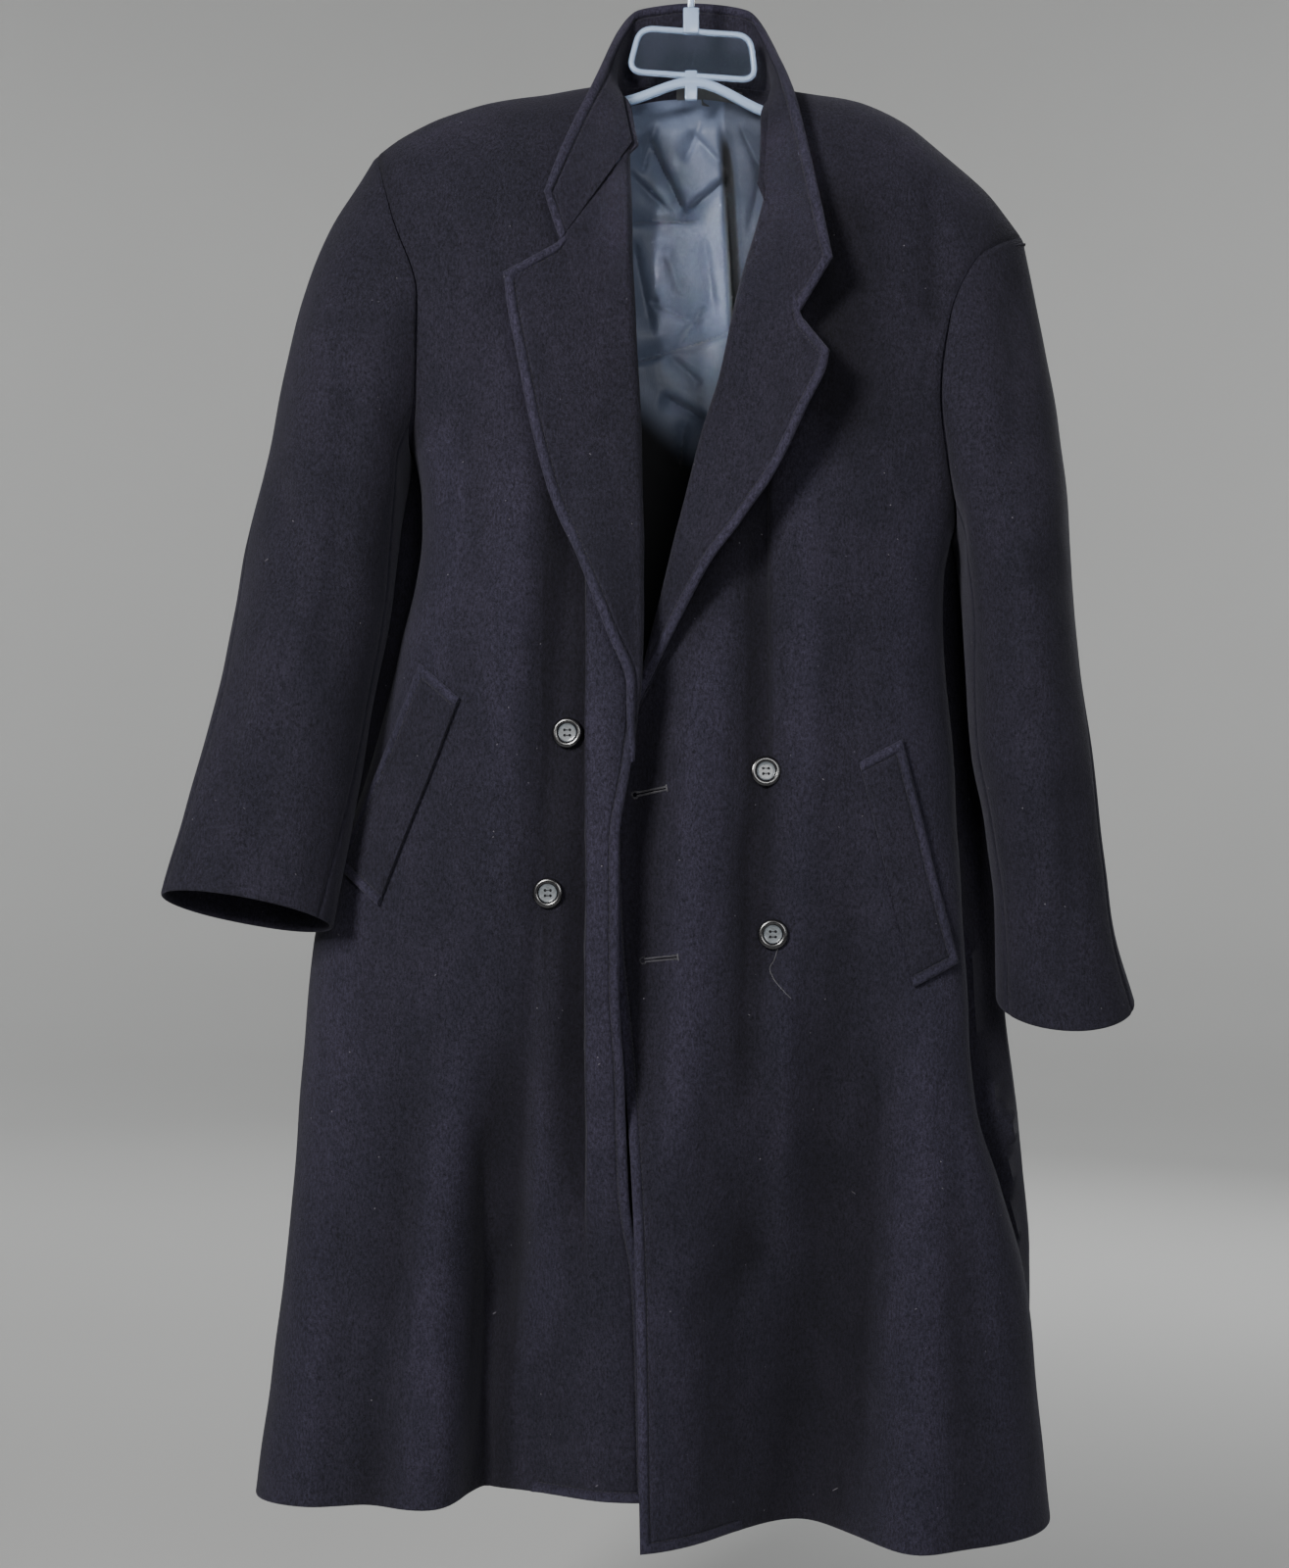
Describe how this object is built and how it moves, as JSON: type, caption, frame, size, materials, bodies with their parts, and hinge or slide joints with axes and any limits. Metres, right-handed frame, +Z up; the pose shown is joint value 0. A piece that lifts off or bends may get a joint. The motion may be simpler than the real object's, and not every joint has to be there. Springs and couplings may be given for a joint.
{
  "type": "double-breasted overcoat on a clear plastic hanger",
  "caption": "Long dark wool overcoat with notched lapels, turned-up collar, set-in sleeves and slanted welt pockets, hung open on a clear hanger.",
  "frame": {"origin": "top of the inside of the hanger's hook, where it rests on the rail", "axes": "+Z up, +X to the wearer's left, the coat's front faces -Y"},
  "size_m": [0.7658, 0.2323, 1.3098],
  "materials": {
    "wool": "brushed wool, matte",
    "lining": "satin",
    "button": "polished with a dark rim",
    "label": "woven, blank",
    "clear": "clear"
  },
  "bodies": {
    "root": {"right_front": "wool", "left_front": "wool", "right_back": "wool", "left_back": "wool", "right_upper_sleeve": "wool", "right_under_sleeve": "wool", "left_upper_sleeve": "wool", "left_under_sleeve": "wool", "right_lapel": "wool", "left_lapel": "wool", "collar": "wool", "right_pocket_welt": "wool", "left_pocket_welt": "wool", "back_neck_facing": "wool", "right_upper_button": "button", "right_lower_button": "button", "left_upper_button": "button", "left_lower_button": "button", "back_lining": "lining", "neck_label": "label", "hanging_loop": "label", "hanger": "clear", "hanger_hook": "clear"}
  },
  "joints": []
}
